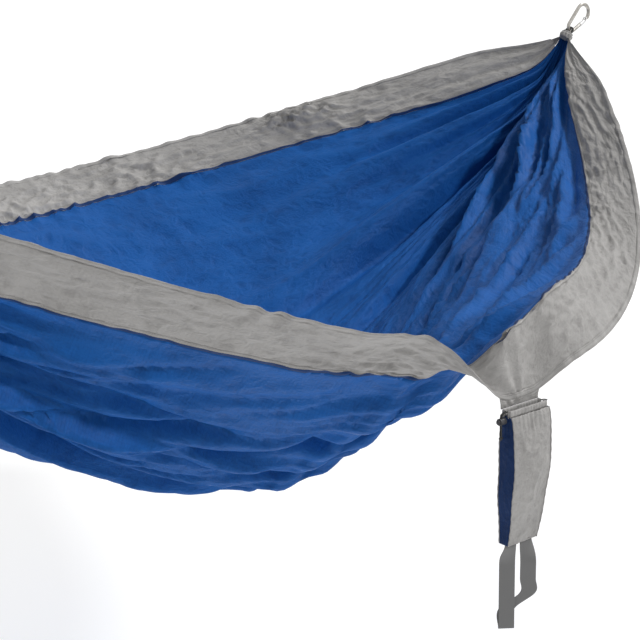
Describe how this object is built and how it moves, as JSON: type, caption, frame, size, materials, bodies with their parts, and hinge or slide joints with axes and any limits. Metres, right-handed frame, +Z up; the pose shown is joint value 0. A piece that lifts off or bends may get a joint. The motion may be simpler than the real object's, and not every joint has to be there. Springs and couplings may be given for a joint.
{
  "type": "camping hammock",
  "caption": "Two-tone nylon camping hammock gathered at both ends onto rope loops and wire-gate carabiners, with a stuff sack on one edge.",
  "frame": {"origin": "where the right carabiner bears on its rope loop", "axes": "+Z up, the bed runs towards -X, the edge with the sack is on -Y"},
  "size_m": [2.1009, 1.6726, 0.8757],
  "materials": {
    "grey_cloth": "woven nylon, matt",
    "blue_cloth": "woven nylon, slight sheen",
    "grey_stitching": "felled seam",
    "rope": "braided",
    "carabiner_metal": "satin",
    "gate_steel": "smooth wire",
    "sack_blue_cloth": "woven nylon, matt",
    "lock_plastic": "moulded",
    "webbing": "ribbed webbing"
  },
  "bodies": {
    "bed": {"near_edge_hem": "grey_stitching", "near_side_panel": "grey_cloth", "near_panel_seam": "grey_stitching", "centre_panel": "blue_cloth", "far_panel_seam": "grey_stitching", "far_side_panel": "grey_cloth", "far_edge_hem": "grey_stitching", "right_gathered_end": "grey_cloth", "left_gathered_end": "grey_cloth", "right_rope_loop": "rope", "left_rope_loop": "rope", "sack_tab": "grey_stitching"},
    "right_carabiner": {"right_carabiner_body": "carabiner_metal"},
    "right_gate": {"right_carabiner_gate": "gate_steel"},
    "left_carabiner": {"left_carabiner_body": "carabiner_metal"},
    "left_gate": {"left_carabiner_gate": "gate_steel"},
    "stuff_sack": {"sack_front_panel": "grey_cloth", "sack_back_panel": "grey_cloth", "sack_left_gusset": "sack_blue_cloth", "sack_right_gusset": "sack_blue_cloth", "sack_base": "grey_cloth", "sack_mouth_channel_front": "grey_stitching", "sack_mouth_channel_back": "grey_stitching", "sack_drawstring": "rope", "drawstring_knot": "rope"},
    "cord_lock": {"cord_lock_body": "lock_plastic"},
    "lock_button": {"cord_lock_button": "lock_plastic", "cord_lock_spring": "gate_steel"},
    "handle": {"webbing_handle": "webbing"}
  },
  "joints": [
    {"name": "right_carabiner_swing", "type": "hinge", "parent": "bed", "child": "right_carabiner", "pos_m": [0, 0, 0], "axis": [0, 1, 0], "range_deg": [-40, 40]},
    {"name": "left_carabiner_swing", "type": "hinge", "parent": "bed", "child": "left_carabiner", "pos_m": [-1.98046, 0, 0], "axis": [0, 1, 0], "range_deg": [-40, 40]},
    {"name": "right_gate_hinge", "type": "hinge", "parent": "right_carabiner", "child": "right_gate", "pos_m": [0.02565, 0, 0.00173], "axis": [0, -1, 0], "range_deg": [0, 26], "stiffness_Nm_per_rad": 0.1, "springref_deg": -17.19},
    {"name": "left_gate_hinge", "type": "hinge", "parent": "left_carabiner", "child": "left_gate", "pos_m": [-2.00611, 0, 0.00173], "axis": [0, 1, 0], "range_deg": [0, 26], "stiffness_Nm_per_rad": 0.1, "springref_deg": -17.19},
    {"name": "sack_swing", "type": "hinge", "parent": "bed", "child": "stuff_sack", "pos_m": [-1.05957, -0.8606, -0.41106], "axis": [1, 0, 0], "range_deg": [-60, 35]},
    {"name": "handle_swing", "type": "hinge", "parent": "stuff_sack", "child": "handle", "pos_m": [-1.07057, -0.8711, -0.65856], "axis": [1, 0, 0], "range_deg": [-45, 45]},
    {"name": "cord_lock_slide", "type": "slide", "parent": "stuff_sack", "child": "cord_lock", "axis": [0, 0, -1], "range_m": [0, 0.018]},
    {"name": "lock_button_press", "type": "slide", "parent": "cord_lock", "child": "lock_button", "axis": [1, 0, 0], "range_m": [0, 0.0022], "stiffness_N_per_m": 400, "springref_m": -0.002, "deforming": ["cord_lock_spring"]}
  ]
}
